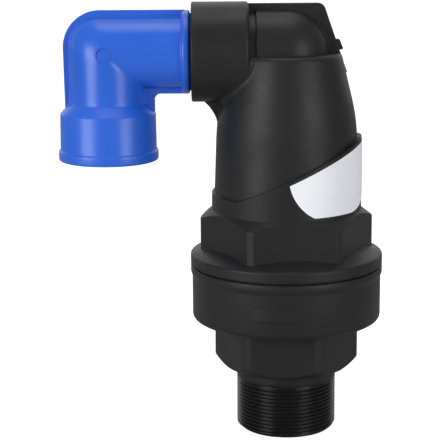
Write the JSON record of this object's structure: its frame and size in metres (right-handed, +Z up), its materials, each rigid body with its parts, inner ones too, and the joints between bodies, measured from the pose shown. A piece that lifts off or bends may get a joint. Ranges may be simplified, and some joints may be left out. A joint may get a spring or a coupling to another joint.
{
  "type": "air release valve",
  "caption": "Combination air release valve with a male pipe inlet, a hexagonal body, a bell housing and an outlet elbow that turns.",
  "frame": {"origin": "centre of the threaded inlet's lower end face", "axes": "+Z up along the valve's axis, -X towards the outlet elbow, -Y the front that the picture shows"},
  "size_m": [0.1916, 0.1144, 0.2569],
  "materials": {
    "black_plastic": "satin moulded glass-filled nylon",
    "blue_plastic": "satin-gloss moulded polypropylene",
    "inner_plastic": "moulded nylon",
    "float_foam": "foamed polypropylene skin",
    "seal_rubber": "moulded elastomer",
    "seat_bronze": "turned bronze",
    "screw_steel": "stainless steel",
    "label_paper": "smooth coated sticker, bare"
  },
  "bodies": {
    "housing": {"base": "black_plastic", "body": "black_plastic", "body_o_ring": "seal_rubber", "orifice_seat": "seat_bronze", "orifice_seat_o_ring": "seal_rubber", "plug_cage": "inner_plastic", "cage_screws": "screw_steel", "elbow_retaining_ring": "inner_plastic", "label": "label_paper"},
    "drain_elbow": {"drain_elbow": "blue_plastic", "elbow_o_rings": "seal_rubber"},
    "seal_plug": {"seal_plug": "inner_plastic", "plug_face_seal": "seal_rubber", "stem_pin": "screw_steel"},
    "float": {"float": "float_foam", "clamping_stem": "inner_plastic", "small_orifice_seal": "seal_rubber", "seal_clamps": "inner_plastic", "clamp_screws": "screw_steel"}
  },
  "joints": [
    {"name": "elbow_swivel", "type": "hinge", "parent": "housing", "child": "drain_elbow", "pos_m": [-0.0557, 0, 0.2278], "axis": [-1, 0, 0], "continuous": true},
    {"name": "plug_lift", "type": "slide", "parent": "housing", "child": "seal_plug", "axis": [0, 0, 1], "range_m": [0, 0.01]},
    {"name": "float_lift", "type": "slide", "parent": "seal_plug", "child": "float", "axis": [0, 0, 1], "range_m": [0, 0.003]}
  ]
}
